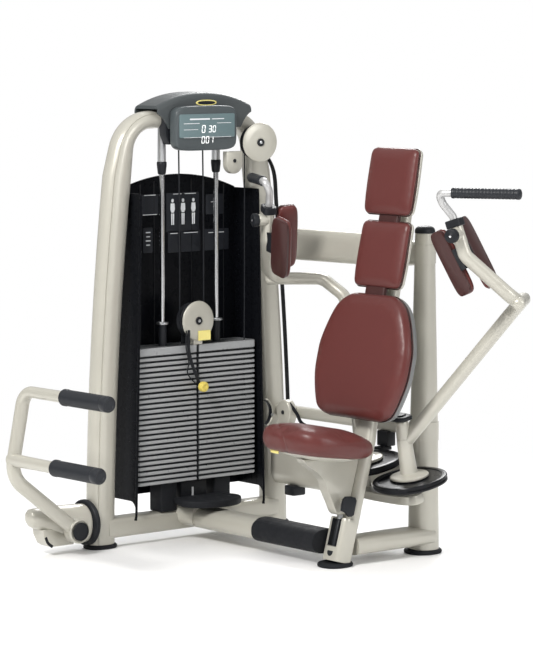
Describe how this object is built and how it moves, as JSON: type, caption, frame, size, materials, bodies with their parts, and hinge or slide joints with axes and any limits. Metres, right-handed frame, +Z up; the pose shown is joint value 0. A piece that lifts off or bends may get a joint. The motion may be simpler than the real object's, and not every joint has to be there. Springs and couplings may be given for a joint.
{
  "type": "seated fly machine",
  "caption": "Seated chest-fly machine: a weight stack in a shrouded tower drives two swinging arms with forearm pads beside a padded seat, with a foot-assist lever.",
  "frame": {"origin": "centre of the underside of the foot below the seat post, on the floor", "axes": "+Z up; the seated user faces -Y; +X is the user's left; the weight tower stands at -X with its open side facing +X"},
  "size_m": [1.4686, 1.2428, 1.492],
  "materials": {
    "champagne_paint": "satin metallic champagne paint",
    "black_plastic": "satin black moulding",
    "black_rubber": "matt black rubber",
    "grey_plastic": "satin dark grey moulding",
    "burgundy_vinyl": "smooth upholstery vinyl",
    "chrome": "polished chrome plate",
    "steel": "bright turned steel",
    "plate_iron": "grey painted plates",
    "yellow_plastic": "gloss yellow",
    "lcd": "grey-green display window"
  },
  "bodies": {
    "frame": {"tower_frame": "champagne_paint", "tower_foot_front": "black_rubber", "tower_foot_rear": "black_rubber", "stack_shroud": "black_plastic", "top_cowl": "grey_plastic", "display_console": "grey_plastic", "display_lens": "lcd", "guide_rod_front": "chrome", "guide_rod_rear": "chrome", "stack_resting": "plate_iron", "stack_buffer_front": "black_rubber", "stack_buffer_rear": "black_rubber", "upper_pulley_cover": "champagne_paint", "idler_cover": "champagne_paint", "belt_pulley_cover": "champagne_paint", "floor_beam": "champagne_paint", "floor_beam_mat": "black_rubber", "step_plate": "black_rubber", "seat_post": "champagne_paint", "seat_post_foot": "black_rubber", "rear_column": "champagne_paint", "rear_column_cap": "black_plastic", "rear_column_foot": "black_rubber", "upper_beam": "champagne_paint", "middle_beam": "champagne_paint", "lower_beam": "champagne_paint", "pivot_bridge": "black_plastic", "pivot_carrier": "champagne_paint", "lower_back_pad": "burgundy_vinyl", "upper_back_pad": "burgundy_vinyl", "head_pad": "burgundy_vinyl", "gas_spring_tube": "black_plastic", "lever_mount": "champagne_paint", "lever_mount_ring": "black_rubber"},
    "weight_stack_lifted": {"stack_lifted": "plate_iron", "stack_pulley_cover": "champagne_paint"},
    "stack_wheel": {"stack_pulley_wheel": "black_plastic"},
    "selector": {"selector_pin": "yellow_plastic"},
    "top_wheel": {"upper_pulley_wheel": "black_plastic"},
    "left_arm_body": {"left_cam": "black_plastic", "left_arm": "champagne_paint", "left_rear_pad": "burgundy_vinyl", "left_inner_pad": "burgundy_vinyl", "left_handle": "black_rubber"},
    "left_knob": {"left_arm_knob": "black_plastic"},
    "right_arm_body": {"right_cam": "black_plastic", "right_arm": "champagne_paint", "right_rear_pad": "burgundy_vinyl", "right_inner_pad": "burgundy_vinyl", "right_handle": "black_rubber"},
    "right_knob": {"right_arm_knob": "black_plastic"},
    "seat": {"seat_carriage": "champagne_paint", "seat_cushion": "burgundy_vinyl", "gas_spring_rod": "chrome"},
    "seat_paddle": {"seat_lever": "black_plastic"},
    "assist_lever": {"foot_lever": "champagne_paint", "upper_foot_grip": "black_rubber", "lower_foot_grip": "black_rubber", "lever_cap": "black_plastic"}
  },
  "joints": [
    {"name": "weight_lift", "type": "slide", "parent": "frame", "child": "weight_stack_lifted", "axis": [0, 0, 1], "range_m": [0, 0.15]},
    {"name": "stack_wheel_spin", "type": "hinge", "parent": "weight_stack_lifted", "child": "stack_wheel", "pos_m": [-0.727, -0.002, 0.7326], "axis": [1, 0, 0], "range_deg": [-10, 200]},
    {"name": "selector_pull", "type": "slide", "parent": "weight_stack_lifted", "child": "selector", "axis": [1, 0, 0], "range_m": [0, 0.06]},
    {"name": "top_wheel_spin", "type": "hinge", "parent": "frame", "child": "top_wheel", "pos_m": [-0.67, 0.232, 1.322], "axis": [0.9877, -0.1564, 0], "range_deg": [-200, 10]},
    {"name": "left_arm_swing", "type": "hinge", "parent": "frame", "child": "left_arm_body", "pos_m": [0.105, 0.228, 0.2526], "axis": [0, -0.1908, 0.9816], "range_deg": [-75, 0]},
    {"name": "left_knob_pull", "type": "slide", "parent": "left_arm_body", "child": "left_knob", "axis": [0.3464, -0.9365, -0.054], "range_m": [0, 0.01]},
    {"name": "right_arm_swing", "type": "hinge", "parent": "frame", "child": "right_arm_body", "pos_m": [-0.105, 0.228, 0.2526], "axis": [0, -0.1908, 0.9816], "range_deg": [0, 75]},
    {"name": "right_knob_pull", "type": "slide", "parent": "right_arm_body", "child": "right_knob", "axis": [-0.3464, -0.9365, -0.054], "range_m": [0, 0.01]},
    {"name": "seat_height", "type": "slide", "parent": "frame", "child": "seat", "axis": [0, 0.2689, 0.9632], "range_m": [-0.08, 0]},
    {"name": "seat_paddle_lift", "type": "hinge", "parent": "seat", "child": "seat_paddle", "pos_m": [0.0446, 0.012, 0.212], "axis": [1, 0, 0], "range_deg": [-15, 15]},
    {"name": "foot_assist_press", "type": "hinge", "parent": "frame", "child": "assist_lever", "pos_m": [-0.672, -0.525, 0.083], "axis": [1, 0, 0], "range_deg": [-8, 24]}
  ],
  "couplings": [
    {"joint": "left_arm_swing", "follows": "weight_lift", "rad_per_m": -8.62},
    {"joint": "right_arm_swing", "follows": "weight_lift", "rad_per_m": 8.62},
    {"joint": "stack_wheel_spin", "follows": "weight_lift", "rad_per_m": 17.544},
    {"joint": "top_wheel_spin", "follows": "weight_lift", "rad_per_m": -17.241}
  ]
}
